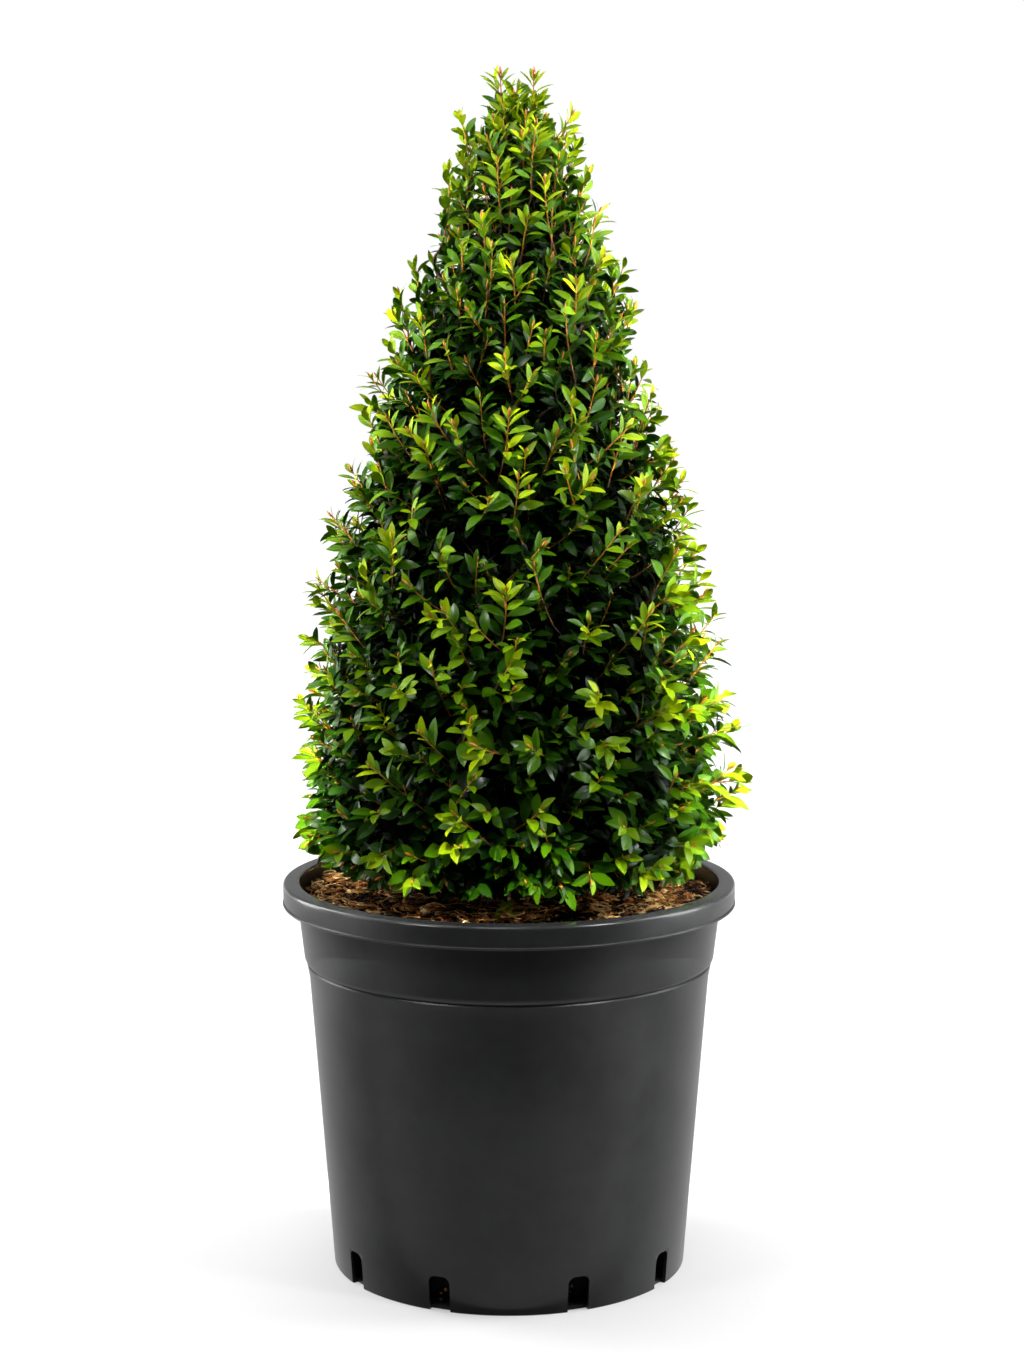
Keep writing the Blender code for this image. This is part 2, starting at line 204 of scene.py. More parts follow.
# Pot: thin moulded wall, hollow rolled rim, stepped band, drain notches
pot = {
    "steps": 240,
    "rimRadius": 0.2225,
    "rimCrest": 0.3848,
    "skirtFoot": 0.3622,
    "rimRound": 0.009,
    "crestRound": 0.0034,
    "crestEdge": 0.0015,
    "wall": 0.003,
    "crestInner": 0.2095,
    "bandTop": 0.2082,
    "bandFoot": 0.2022,
    "stepHeight": 0.304,
    "stepRound": 0.008,
    "bodyTop": 0.1981,
    "base": 0.1747,
    "baseRound": 0.0016,
    "floorRound": 0.004,
    "bead": 0.0013,
    "notchTurns": (-22, 22, -57, 57, -98, 98, -139, 139, 180),
    "notchWidth": 0.0215,
    "notchHeight": 0.035,
    "notchCorner": 0.007,
    "floorSetback": 0.0065,
    "notchBevel": 0.0009,
    "dark": (0.032, 0.0325, 0.0333),
    "light": (0.05, 0.0507, 0.0517),
    "roughness": 0.31,
    "shine": 0.17,
    "cloudScale": 9.0,
    "scuffScale": 55.0,
    "scuffColour": (0.07, 0.07, 0.07),
    "grainScale": 620.0,
    "wornHeights": (0.379, 0.3838),
}


def bodyRadius(height):
    return pot["base"] + (pot["bodyTop"] - pot["base"]) * height / pot["stepHeight"]


def innerRadius(height):
    wall, step = pot["wall"], pot["stepHeight"]
    if height <= step - wall:
        return bodyRadius(height) - wall
    bandFoot = step + pot["stepRound"]
    if height < bandFoot:
        low = bodyRadius(step - wall) - wall
        share = (height - step + wall) / (pot["stepRound"] + wall)
        return low + share * (pot["bandFoot"] - wall - low)
    share = (height - bandFoot) / (pot["skirtFoot"] - bandFoot)
    return pot["bandFoot"] - wall + share * (pot["bandTop"] - pot["bandFoot"])


def potOutline():
    # from the middle of the floor, up the inside, over the rim and down the outside
    wall, crest, foot, rim = pot["wall"], pot["rimCrest"], pot["skirtFoot"], pot["rimRadius"]
    roll, bead, step, ledgeTop = pot["rimRound"], pot["bead"], pot["stepHeight"], pot["stepHeight"] + pot["stepRound"]
    edge, corner, inner, cove = pot["crestEdge"], pot["crestRound"], pot["crestInner"], pot["floorRound"]
    overNotch = [pot["notchHeight"] + 0.002, pot["notchHeight"] + 0.006]
    points = [(0.0, wall), (0.08, wall)]  # floor
    points += arc((innerRadius(wall) - cove, wall + cove), cove, -90, 0, 4)
    inside = overNotch + [step * share for share in (0.25, 0.5, 0.75)] + [step - wall, ledgeTop, foot]
    points += [(innerRadius(height), height) for height in inside]
    points += [(inner - wall, foot + 0.004), (inner - wall, crest - 0.004)]  # crest
    points += arc((inner - wall + edge, crest - edge), edge, 180, 90, 5)
    points += [(inner + 0.003, crest - 0.0001), (rim - corner - 0.002, crest - 0.0002)]
    points += arc((rim - corner, crest - corner - 0.0003), corner, 86, 0, 10)
    points += [(rim - 0.0001, crest - 0.006), (rim - 0.0002, foot + 5 * bead), (rim - 0.0009, foot + 2.3 * bead)]
    points += arc((rim - 0.65 * bead, foot + bead), bead, 70, -170, 9)  # bead under the skirt
    points += [(rim - wall, foot + 2 * bead)]
    points += arc((rim - roll, crest - roll), roll - wall, 0, 90, 6)  # hollow of the roll
    points += [(inner + wall / 2, crest - 2 * wall)]
    band = [pot["bandTop"] + (pot["bandFoot"] - pot["bandTop"]) * part / 4 for part in range(5)]
    points += list(zip(band, [foot + (ledgeTop - foot) * part / 4 for part in range(5)]))
    points += arc((pot["bandFoot"] - pot["stepRound"], ledgeTop), pot["stepRound"], 0, -54, 8)[1:]
    ledge = bodyRadius(step)
    points += [(ledge + 0.0003, step + 0.0007), (ledge + 0.0012, step - 0.0004), (ledge + 0.0015, step - 0.0011)]
    points += [(ledge + 0.0012, step - 0.0024), (bodyRadius(step - 0.014) + 0.0001, step - 0.014)]
    below = [step * share for share in (0.8, 0.6, 0.4, 0.2)] + overNotch[::-1]
    points += [(bodyRadius(height), height) for height in below]
    points += arc((bodyRadius(0.003) - pot["baseRound"], pot["baseRound"]), pot["baseRound"], 0, -90, 4)
    return points + [(0.09, 0.0), (0.0, 0.0)]


def notchShape():
    # doorways with round tops, cut through the wall and the floor's edge
    shape = bmesh.new()
    half, corner = pot["notchWidth"] / 2, pot["notchCorner"]
    top = pot["notchHeight"] - corner
    doorway = [(half, -0.02)] + arc((half - corner, top), corner, 0, 90, 6)
    doorway += arc((corner - half, top), corner, 90, 180, 6) + [(-half, -0.02)]
    for degrees in pot["notchTurns"]:
        turn = Matrix.Rotation(math.radians(degrees - 90), 4, "Z")
        near = pot["base"] - pot["floorSetback"]
        corners = [shape.verts.new(turn @ Vector((near, across, up))) for across, up in doorway]
        grown = bmesh.ops.extrude_face_region(shape, geom=[shape.faces.new(corners)])["geom"]
        moved = [found for found in grown if isinstance(found, bmesh.types.BMVert)]
        bmesh.ops.translate(shape, verts=moved, vec=turn @ Vector((0.06, 0.0, 0.0)))
    bmesh.ops.recalc_face_normals(shape, faces=shape.faces)
    return shape


def cutAndApply(mesh, cutterMesh):
    body = bpy.data.objects.new("body", mesh)
    cutter = bpy.data.objects.new("cutter", cutterMesh)
    for found in (body, cutter):
        scene.collection.objects.link(found)
    cut = body.modifiers.new("cut", "BOOLEAN")
    cut.operation = "DIFFERENCE"
    cut.solver = "EXACT"
    cut.object = cutter
    bpy.context.view_layer.update()
    made = bpy.data.meshes.new_from_object(body.evaluated_get(bpy.context.evaluated_depsgraph_get()))
    for found in (body, cutter):
        bpy.data.objects.remove(found, do_unlink=True)
    return made


def softenNotches(mesh):
    # a small bevel round each doorway catches the light
    shape = bmesh.new()
    shape.from_mesh(mesh)
    bmesh.ops.remove_doubles(shape, verts=shape.verts, dist=0.00001)
    edges = []
    for edge in shape.edges:
        ends = [corner.co for corner in edge.verts]
        if max(end.z for end in ends) > pot["notchHeight"] + 0.001 or len(edge.link_faces) != 2:
            continue
        if min(end.z for end in ends) < 0.0035 or edge.calc_face_angle(0.0) < math.radians(60):
            continue
        if min(math.hypot(end.x, end.y) - bodyRadius(end.z) for end in ends) > -0.0002:
            edges.append(edge)
    bmesh.ops.bevel(shape, geom=edges, offset=pot["notchBevel"], segments=2, profile=0.5,
                    affect="EDGES", material=-1, clamp_overlap=True)
    shape.to_mesh(mesh)
    shape.free()


def potPlastic():
    finish = Finish("potPlastic", pot["light"], pot["roughness"], Specular_IOR_Level=pot["shine"])
    nodes, place = finish.nodes, finish.place()
    cloud = nodes.noise(place, pot["cloudScale"], 4.0, 0.6)
    grain = nodes.noise(place, pot["grainScale"], 2.0, 0.6)
    scuff = nodes.between(nodes.noise(place, pot["scuffScale"], 6.0, 0.75), 0.62, 0.8)
    shade = nodes.blend(nodes.between(cloud, 0.3, 0.7), pot["dark"], pot["light"])
    finish.set("Base Color", nodes.blend(scuff * 0.25, shade, pot["scuffColour"]))
    level = nodes.add("ShaderNodeSeparateXYZ", {}, {0: place}, 2)
    worn = nodes.between(level, *pot["wornHeights"])  # the crest is handled, so it is smoother
    finish.set("Roughness", pot["roughness"] - 0.05 + grain * 0.1 + scuff * 0.12 - worn * 0.08)
    finish.set("Coat Weight", worn * 0.6)
    finish.set("Coat Roughness", 0.14)
    finish.bump(grain + cloud * 0.6, 0.1, 0.0006)
    return finish


def makePot():
    mesh = cutAndApply(meshFromShape("potWall", turnedShape(potOutline(), pot["steps"])),
                       meshFromShape("notches", notchShape()))
    softenNotches(mesh)
    smoothBelow(mesh, 34)
    addPiece("nurseryPot", mesh, potPlastic(), "pot")


# Mulch: the mix in the pot, with shreds, chips and crumbs of bark on it
mulch = {
    "seed": 11,
    "level": 0.3655,
    "heap": 0.004,
    "lump": 0.006,
    "lumpRate": 38.0,
    "rings": 40,
    "steps": 160,
    "gap": 0.0012,
    "cavity": 0.022,
    "cavityHeight": 0.044,
    "shreds": 2300,
    "curls": 1900,
    "chips": 260,
    "crumbs": 1400,
    "notchBits": 9,
    "longestShred": 0.042,
    "highestShred": 0.3845,
    "highestCurl": 0.383,
    "chipSizes": (0.004, 0.0085),
    "crumbSizes": (0.0009, 0.0026),
    "bitSizes": (0.0012, 0.0034),
    # the near-black tone is painted shade for the gaps between the shreds; mulchPale is paler than bark, painted
    # light for the lit chips
    "tones": (
        ("mulchShade", (0.008, 0.0035, 0.0015), 0.3),
        ("mulchBrown", (0.2, 0.08, 0.02), 0.24),
        ("mulchTan", (0.6, 0.265, 0.07), 0.26),
        ("mulchPale", (1.0, 0.66, 0.275), 0.2),
    ),
    "roughness": 0.75,
    "shine": 0.12,
    # the mix's own dark brown is painted darker still, near black, as shade in the gaps between the shreds and in the
    # notches
    "bedDark": (0.004, 0.0025, 0.0015),
    "bedBrown": (0.018, 0.01, 0.005),
    "bedCrumb": (0.06, 0.032, 0.014),
}


def mulchLumps(x, y):
    return noise.noise(Vector((x, y, 0.3)) * mulch["lumpRate"]) + 0.5 * noise.noise(Vector((x, y, 2.3)) * 90.0)


def mulchHeight(x, y):
    # heaped a little towards the middle, and lumpy
    heap = mulch["heap"] * (1.0 - min(math.hypot(x, y) / 0.2, 1.0))
    return mulch["level"] + heap + mulch["lump"] * mulchLumps(x, y)


def mulchOutline():
    gap, low = mulch["gap"], mulch["cavityHeight"]
    edge = innerRadius(mulch["level"] - 0.006) - gap
    points = [(edge * ring / mulch["rings"], mulch["level"]) for ring in range(mulch["rings"] + 1)]
    down = (0.33, pot["stepHeight"] + pot["stepRound"], pot["stepHeight"] - pot["wall"], 0.2, 0.1, low + 0.014)
    points += [(innerRadius(height) - gap, height) for height in down]
    cavity, floor = innerRadius(low) - mulch["cavity"], pot["wall"] + 0.0005
    return points + [(cavity, low), (cavity, floor), (0.0, floor)]


def pottingMix():
    finish = Finish("pottingMix", mulch["bedBrown"], 0.92)
    nodes, place = finish.nodes, finish.place()
    crumb = nodes.noise(place, 160.0, 6.0, 0.7)
    patch = nodes.noise(place, 34.0, 3.0, 0.6)
    mix = nodes.blend(nodes.between(patch, 0.35, 0.65), mulch["bedDark"], mulch["bedBrown"])
    finish.set("Base Color", nodes.blend(nodes.between(crumb, 0.52, 0.74), mix, mulch["bedCrumb"]))
    finish.set("Roughness", 0.8 + crumb * 0.18)
    finish.bump(crumb + patch, 0.8, 0.004)
    return finish


def makeMulchBed():
    shape = turnedShape(mulchOutline(), mulch["steps"])
    for corner in shape.verts:
        out = math.hypot(corner.co.x, corner.co.y)
        if corner.co.z > mulch["level"] - 0.001:
            corner.co.z = mulchHeight(corner.co.x, corner.co.y) - 0.005
        elif corner.co.z < 0.06 and out > 0.1:
            push = -0.008 * abs(noise.noise(corner.co * 60.0))
            corner.co.x *= 1.0 + push / out
            corner.co.y *= 1.0 + push / out
    mesh = meshFromShape("mulchBed", shape)
    mesh.shade_smooth()
    addPiece("mulchBed", mesh, pottingMix(), "soil")


def tubes(paths, radii, sides, flat=1.0, reference=(0.31, 0.52, 0.79)):
    # many tubes at once: paths is (tubes, rings, 3), radii is (tubes, rings); both ends are closed
    paths, radii = np.asarray(paths, float), np.asarray(radii, float)
    count, rings, _ = paths.shape
    along = np.gradient(paths, axis=1)
    along /= np.linalg.norm(along, axis=2, keepdims=True)
    side = np.asarray(reference, float)
    side = side[:, None] if side.ndim > 1 else np.broadcast_to(side, (count, 1, 3))
    side = side - (side * along).sum(2, keepdims=True) * along
    side /= np.maximum(np.linalg.norm(side, axis=2, keepdims=True), 1e-6)
    turn = (np.arange(sides) * 2 * np.pi / sides)[:, None]
    offset = side[:, :, None] * np.cos(turn) + np.cross(along, side)[:, :, None] * np.sin(turn) * flat
    skin = paths[:, :, None] + offset * radii[:, :, None, None]
    corners = np.concatenate([skin.reshape(count, rings * sides, 3), paths[:, :1], paths[:, -1:]], axis=1)
    foot, top, lastRing = rings * sides, rings * sides + 1, (rings - 1) * sides
    faces = []
    for here in range(sides):
        after = (here + 1) % sides
        for ring in range(0, lastRing, sides):
            faces += [(ring + here, ring + after, ring + sides + after),
                      (ring + here, ring + sides + after, ring + sides + here)]
        faces += [(after, here, foot), (lastRing + here, lastRing + after, top)]
    faces = np.array(faces) + (np.arange(count) * (top + 1))[:, None, None]
    return corners.reshape(-1, 3), faces.reshape(-1, 3)


def insidePot(points, highest):
    edge = innerRadius(mulch["level"]) - 0.002
    return max(math.hypot(spot.x, spot.y) for spot in points) <= edge and max(spot.z for spot in points) <= highest


def shredPaths(rng, places):
    # bent strips that lie on the bed, some curled up at an end
    paths, radii, facing = [], [], []
    for x, y in places:
        length = mulch["longestShred"] * rng.uniform(0.25, 1.0) ** 1.3
        heading, bend = rng.uniform(0, 2 * math.pi), rng.uniform(-2.2, 2.2)
        rise, tilt, arch = rng.uniform(-0.004, 0.006), rng.uniform(-0.5, 0.55), rng.uniform(-0.25, 0.45)
        spot = Vector((x, y, mulchHeight(x, y) + rise))
        points = []
        for share in (-0.5, -0.25, 0.0, 0.25, 0.5):
            up = length * (tilt * share - arch * share * share * 2)
            points.append(spot + outward(heading + bend * share) * (length * share) + upright * up)
        if not insidePot(points, mulch["highestShred"]):
            continue
        wide = rng.uniform(0.0005, 0.0019)
        paths.append(points)
        radii.append([wide * width for width in (0.25, 0.9, 1.0, 0.8, 0.15)])
        facing.append((-math.sin(heading), math.cos(heading), rng.uniform(-0.5, 0.5)))
    return paths, radii, facing


def curlPaths(rng, places):
    # thin fibres that coil and stand a little off the bed
    paths, radii = [], []
    for x, y in places:
        heading, bend = rng.uniform(0, 2 * math.pi), rng.choice((-1, 1)) * rng.uniform(2.5, 6.5)
        length, lift = rng.uniform(0.016, 0.04), rng.uniform(-0.1, 0.3)
        points = [Vector((x, y, mulchHeight(x, y) + rng.uniform(0.001, 0.006)))]
        for step in range(8):
            rise = lift * math.sin(math.pi * (step + 0.5) / 4)
            way = outward(heading + bend * (step / 8 - 0.5)) + upright * rise
            points.append(points[-1] + way * length / 8)
        if insidePot(points, mulch["highestCurl"]):
            paths.append(points)
            radii.append([rng.uniform(0.0006, 0.0011) * width for width in (0.4, 0.9, 1, 1, 1, 1, 0.9, 0.8, 0.3)])
    return paths, radii


def lumpsAt(rng, places, sizes, subdivisions, flat):
    shape = bmesh.new()
    bmesh.ops.create_icosphere(shape, subdivisions=subdivisions, radius=1.0)
    template, faces = arraysFromShape(shape)
    parts = []
    for number, place in enumerate(places):
        size = rng.uniform(*sizes)
        lump = template * [size, size * rng.uniform(0.45, 0.8), size * flat * rng.uniform(0.6, 1.2)]
        lump *= [[1.0 + 0.35 * noise.noise(Vector(c) * 1.7 + Vector((number, 0, 0)))] for c in template]
        turn = Matrix.Rotation(rng.uniform(0, 6.283), 3, "Z") @ Matrix.Rotation(rng.uniform(-0.5, 0.5), 3, "X")
        parts.append((lump @ np.array(turn).T + list(place), faces))
    return joinParts(parts)


def mulchPlaces(rng, count, onLumps=False):
    # most of the loose bark is where it shows, towards the rim, and the pale bark is on the lumps
    edge = innerRadius(mulch["level"]) - 0.003
    places = []
    while len(places) < int(count):
        out = edge * (1.0 - 0.75 * rng.random() ** 1.6)
        turn = rng.uniform(0, 2 * math.pi)
        x, y = out * math.cos(turn), out * math.sin(turn)
        if not onLumps or mulchLumps(x, y) > rng.uniform(-0.22, 0.2):
            places.append((x, y))
    return places


def makeMulch():
    rng = random.Random(mulch["seed"])
    for name, colour, share in mulch["tones"]:
        # the near-black painted shade tone lies everywhere, the others only on the lumps
        onLumps = name != "mulchShade"
        paths, radii, facing = shredPaths(rng, mulchPlaces(rng, mulch["shreds"] * share, onLumps))
        parts = [tubes(paths, radii, 4, 0.6, facing)]
        parts.append(tubes(*curlPaths(rng, mulchPlaces(rng, mulch["curls"] * share, onLumps)), 3))
        edge = innerRadius(mulch["level"]) - 0.01
        chips = mulchPlaces(rng, mulch["chips"] * share, onLumps)
        chips = [(x, y, mulchHeight(x, y) + 0.002) for x, y in chips if math.hypot(x, y) < edge]
        parts.append(lumpsAt(rng, chips, mulch["chipSizes"], 2, 0.45))
        crumbs = mulchPlaces(rng, mulch["crumbs"] * share)
        crumbs = [(x, y, mulchHeight(x, y) + 0.001) for x, y in crumbs]
        parts.append(lumpsAt(rng, crumbs, mulch["crumbSizes"], 1, 0.7))
        bits = []  # mix that shows in the notches
        for degrees in pot["notchTurns"]:
            for _ in range(max(1, int(mulch["notchBits"] * share))):
                turn = math.radians(degrees - 90) + rng.uniform(-0.055, 0.055)
                out = rng.uniform(0.156, 0.1655)
                bits.append((out * math.cos(turn), out * math.sin(turn), 0.0045 + 0.02 * rng.random() ** 2))
        parts.append(lumpsAt(rng, bits, mulch["bitSizes"], 1, 0.7))
        finish = Finish(name, colour, mulch["roughness"], Specular_IOR_Level=mulch["shine"])
        addPiece(name, meshFromArrays(name, *joinParts(parts)), finish, "soil")


# Trunk: the source's leader, with bark relief
trunk = {
    "level": 0.3665,
    "radius": 0.0135,
    "topRadius": 0.005,
    "top": 1.02,
    "lean": 0.006,
    "sway": 0.004,
    "flare": 0.0105,
    "flareHeight": 0.035,
    "roots": 5,
    "rootTurn": 0.9,
    "sides": 48,
    "rings": 150,
    "relief": 0.0011,
    "furrows": ((1.0, 3.2, 22.0), (0.6, 8.0, 60.0)),  # depth, times round, times along
    # the bark's browns are painted about half as bright as the bark, as shade inside the crown
    "dark": (0.05, 0.029, 0.017),
    "light": (0.1, 0.066, 0.042),
    "crack": (0.035, 0.02, 0.012),
}


def trunkAxis(height):
    share = (height - trunk["level"]) / (trunk["top"] - trunk["level"])
    bend = trunk["sway"] * math.sin(share * 2 * math.pi)
    return Vector((trunk["lean"] * share + bend, bend * 0.6, height))


def trunkRadius(height):
    share = (height - trunk["level"]) / (trunk["top"] - trunk["level"])
    return trunk["radius"] + (trunk["topRadius"] - trunk["radius"]) * share


def trunkPoint(turn, height):
    rise = clamp((height - trunk["level"]) / trunk["flareHeight"])
    root = 0.6 + 0.4 * math.cos(trunk["roots"] * turn + trunk["rootTurn"])
    radius = trunkRadius(max(height, trunk["level"])) + trunk["flare"] * root * (1.0 - rise) ** 2
    out = outward(turn)
    furrow = sum(deep * noise.noise(out * around + upright * height * up) for deep, around, up in trunk["furrows"])
    return trunkAxis(height) + out * (radius + trunk["relief"] * furrow * radius / trunk["radius"])


def trunkBark():
    finish = Finish("trunkBark", trunk["light"], 0.85)
    nodes, place = finish.nodes, finish.place()
    stretch = nodes.add("ShaderNodeMapping", {}, {"Vector": place, "Scale": (1.0, 1.0, 0.18)})
    streak = nodes.noise(stretch, 260.0, 5.0, 0.65)
    brown = nodes.blend(nodes.between(nodes.noise(place, 40.0, 3.0), 0.35, 0.65), trunk["dark"], trunk["light"])
    finish.set("Base Color", nodes.blend(nodes.between(streak, 0.52, 0.7), brown, trunk["crack"]))
    finish.set("Roughness", 0.74 + streak * 0.2)
    finish.bump(streak, 0.7, 0.0015)
    return finish


def makeTrunk():
    shape = bmesh.new()
    foot = trunk["level"] + 0.0003
    for corner in bmesh.ops.create_circle(shape, segments=trunk["sides"], radius=1.0)["verts"]:
        corner.co = trunkPoint(math.atan2(corner.co.y, corner.co.x), foot)
    edges = list(shape.edges)
    middle = trunkAxis(foot)
    for step in range(1, trunk["rings"] + 1):
        height = foot + (trunk["top"] - foot) * (step / trunk["rings"]) ** 1.15
        grown = bmesh.ops.extrude_edge_only(shape, edges=edges)["geom"]
        edges = [found for found in grown if isinstance(found, bmesh.types.BMEdge)]
        for corner in [found for found in grown if isinstance(found, bmesh.types.BMVert)]:
            corner.co = trunkPoint(math.atan2(corner.co.y - middle.y, corner.co.x - middle.x), height)
        middle = trunkAxis(height)
    bmesh.ops.holes_fill(shape, edges=shape.edges, sides=0)
    bmesh.ops.recalc_face_normals(shape, faces=shape.faces)
    mesh = meshFromShape("trunkWood", shape)
    smoothBelow(mesh, 50)
    addPiece("trunkWood", mesh, trunkBark(), "trunk")


# Crown: the source's outline and spiral of shoots, carried to boughs, twigs and leaves
crown = {
    "seed": 7,
    "profile": (  # height and radius
        (0.385, 0.186), (0.42, 0.2), (0.455, 0.217), (0.56, 0.208), (0.62, 0.198),
        (0.7, 0.181), (0.75, 0.173), (0.85, 0.141), (0.95, 0.116), (1.01, 0.093),
        (1.05, 0.079), (1.1, 0.065), (1.135, 0.052), (1.165, 0.03),
    ),
    "foot": 0.38,
    "mulchReach": 0.192,
    "overRim": 0.39,
    "top": 1.1725,
    "shareTop": 1.173,
    "lowestLift": 14.0,
    "highestLift": 74.0,
    "liftCurve": 0.85,
    "tipScale": 0.84,
    "topShoots": 28,
    "topHeight": 1.16,
    "topFall": 0.06,
    "topSpread": 0.044,
    "leaders": ((-0.0085, -0.05), (0.0237, 0.02)),  # place across and lean
    "leaderReach": 1.1675,
    "bulge": 0.006,
    "bulgeFrom": 0.8,
    "bulgeHeight": 0.34,
    "skirtTop": 0.465,  # below it the shoots hang over
    "skirtHeight": 0.06,
    "skirtDroop": 44,
    "standOut": 0.32,  # share of the shoots that stray by outer, the rest by inner
    "outer": (0.55, 1.2),
    "inner": (-1.6, 0.3),
    "topCalm": 0.6,
    # painted light on the leaves by place: a glow at the outline, lighter near the top, shade at the foot and shade
    # that deepens with depth
    "edgeGlowTone": 1.22,
    "topLightTone": 1.2,
    "footShadeTone": 0.7,
    "depthShadeSlope": 125.0,
}
boughs = {
    "count": 76,
    "lowest": 0.392,
    "highest": 1.03,
    "reach": 0.6,
    "longest": 0.15,
    "sway": 0.22,
    "curve": 0.35,
    "thickest": 0.0046,
    "tip": 0.0019,
    "rings": 9,
    "lowestTwig": 0.398,
}
# Layers of shoots: how deep their tips lie, pairs of leaves, how dark and how large; the deeper layers are painted
# darker as shade
layerKeys = ("count", "low", "high", "depth", "spread", "pairs", "tone", "lift", "size", "fine")
layers = [dict(zip(layerKeys, row)) for row in (
    (570, 0.411, 1.137, 0.001, 0.012, 7, 1.05, 6, 1.0, True),  # clipped face
    (640, 0.414, 1.12, 0.026, 0.01, 6, 2.6, 2, 1.0, False),
    # the layer inside is painted dark as shade
    (500, 0.414, 1.098, 0.057, 0.012, 5, 4.0, -6, 1.45, False),  # dark inside
    (66, 0.402, 0.416, 0.015, 0.01, 4, 1.9, -6, 1.0, True),  # fringe over the mulch
    # as is the layer behind the fringe
    (120, 0.4, 0.43, 0.038, 0.014, 5, 4.2, -10, 1.3, False),  # and the dark behind it
)]
shoot = {
    "spacing": (0.003, 0.007, 0.009, 0.0105, 0.0115, 0.012, 0.0125, 0.0125),
    "angles": (19, 35, 44, 50, 55, 59, 63, 67),
    "sizes": (0.68, 0.9, 1.0, 1.05, 1.07, 1.05, 1.0, 0.95),
    "tones": (0.0, 0.35, 0.85, 1.4, 1.9, 2.3, 2.7, 3.0),
    "flatten": 0.45,
    "openness": 0.38,
    "overhang": 0.013,
    "droop": (0.15, 0.55),
    "sway": 0.16,
    "rings": 9,
    "radius": 0.00085,
    "tipRadius": 0.0006,
    "sideShoots": 0.2,
    "bud": 0.0085,
    "budRadius": 0.001,
}
leaf = {
    "length": 0.027,
    "wide": 0.44,
    "narrow": 0.295,
    "fine": ((0, 0), (0.07, 0.09), (0.2, 0.42), (0.38, 0.81), (0.56, 1), (0.76, 0.82), (0.915, 0.42), (1, 0)),
    "coarse": ((0, 0), (0.22, 0.48), (0.56, 1), (0.85, 0.66), (1, 0)),  # place along the blade and width
    "shapes": (
        {"fold": 0.34, "cup": 0.14, "curl": 0.36, "wave": 0.03, "twist": 0.1},
        {"fold": 0.42, "cup": 0.18, "curl": 0.52, "wave": 0.05, "twist": -0.18},
        {"fold": 0.28, "cup": 0.22, "curl": 0.74, "wave": 0.04, "twist": 0.25},
        {"fold": 0.48, "cup": 0.14, "curl": 0.44, "wave": 0.07, "twist": -0.06},
        {"fold": 0.36, "cup": 0.22, "curl": 0.22, "wave": 0.05, "twist": 0.05},
        {"fold": 0.24, "cup": 0.16, "curl": 0.6, "wave": 0.09, "twist": -0.3},
    ),
    "crease": 32,
    "mostFaces": 190000,
}
# Leaf tones from the youngest to the most shaded: colour, roughness, shine and the step to the next; the palest, the
# youngest, are also painted lighter as a glow for light passing through them, and leafDark and leafShade are painted
# shade
tones = (
    ("leafLime", (0.36, 0.48, 0.003), 0.38, 0.06, 0.35),
    ("leafYoung", (0.265, 0.39, 0.0025), 0.36, 0.08, 0.95),
    ("leafFresh", (0.152, 0.284, 0.002), 0.34, 0.12, 1.6),
    ("leafGreen", (0.055, 0.155, 0.001), 0.3, 0.17, 2.5),
    ("leafDeep", (0.016, 0.066, 0.001), 0.29, 0.14, 3.5),
    ("leafDark", (0.005, 0.024, 0.0008), 0.34, 0.08, 4.5),
    ("leafShade", (0.0015, 0.006, 0.0004), 0.4, 0.04, math.inf),
)
# Stems: piece, finish, colour, roughness, sides and slot; the twigs and boughs inside the crown are painted darker
# than their bark, as shade
stems = {
    "young": ("youngStems", "stemAmber", (0.54, 0.2, 0.012), 0.5, 5, "eugenia_leaf"),
    "brown": ("brownStems", "stemBrown", (0.26, 0.085, 0.012), 0.55, 5, "eugenia_leaf"),
    "old": ("twigs", "twigBrown", (0.04, 0.018, 0.008), 0.75, 4, "trunk_bark"),
    "bough": ("boughs", "boughBrown", (0.06, 0.036, 0.022), 0.8, 7, "trunk_bark"),
}
budBronze = (0.64, 0.2, 0.03)
leafRows = []
stemRows = {kind: [] for kind in stems}
budRows = []


def crownRadius(height):
    low, high = crown["profile"][0], crown["profile"][-1]
    if height <= low[0]:
        return low[1]
    for low, high in zip(crown["profile"], crown["profile"][1:]):
        if height <= high[0]:
            break
    share = min((height - low[0]) / (high[0] - low[0]), 1.0)
    return low[1] + share * (high[1] - low[1])


def crownShare(height):
    return clamp((height - crown["foot"]) / (crown["shareTop"] - crown["foot"]))


def crownMiddle(height):
    # the upper half bulges a little to one side
    middle = trunkAxis(min(height, trunk["top"]))
    share = clamp((height - crown["bulgeFrom"]) / crown["bulgeHeight"])
    return Vector((middle.x + crown["bulge"] * math.sin(math.pi * share), middle.y, height))


def liftAt(height):
    low, high = crown["lowestLift"], crown["highestLift"]
    return math.radians(low + (high - low) * crownShare(height) ** crown["liftCurve"])


def growthAt(height):
    return 1.0 + (crown["tipScale"] - 1.0) * crownShare(height)


def clearOfPot(point):
    floor = crown["foot"] if math.hypot(point.x, point.y) < crown["mulchReach"] else crown["overRim"]
    return floor < point.z < crown["top"]


def shootsPerHeight(height, depth):
    step = 0.005
    slope = (crownRadius(height + step) - crownRadius(height - step)) / (2 * step)
    return 2 * math.pi * max(crownRadius(height) - depth, 0.006) * math.hypot(1.0, slope) / growthAt(height) ** 2


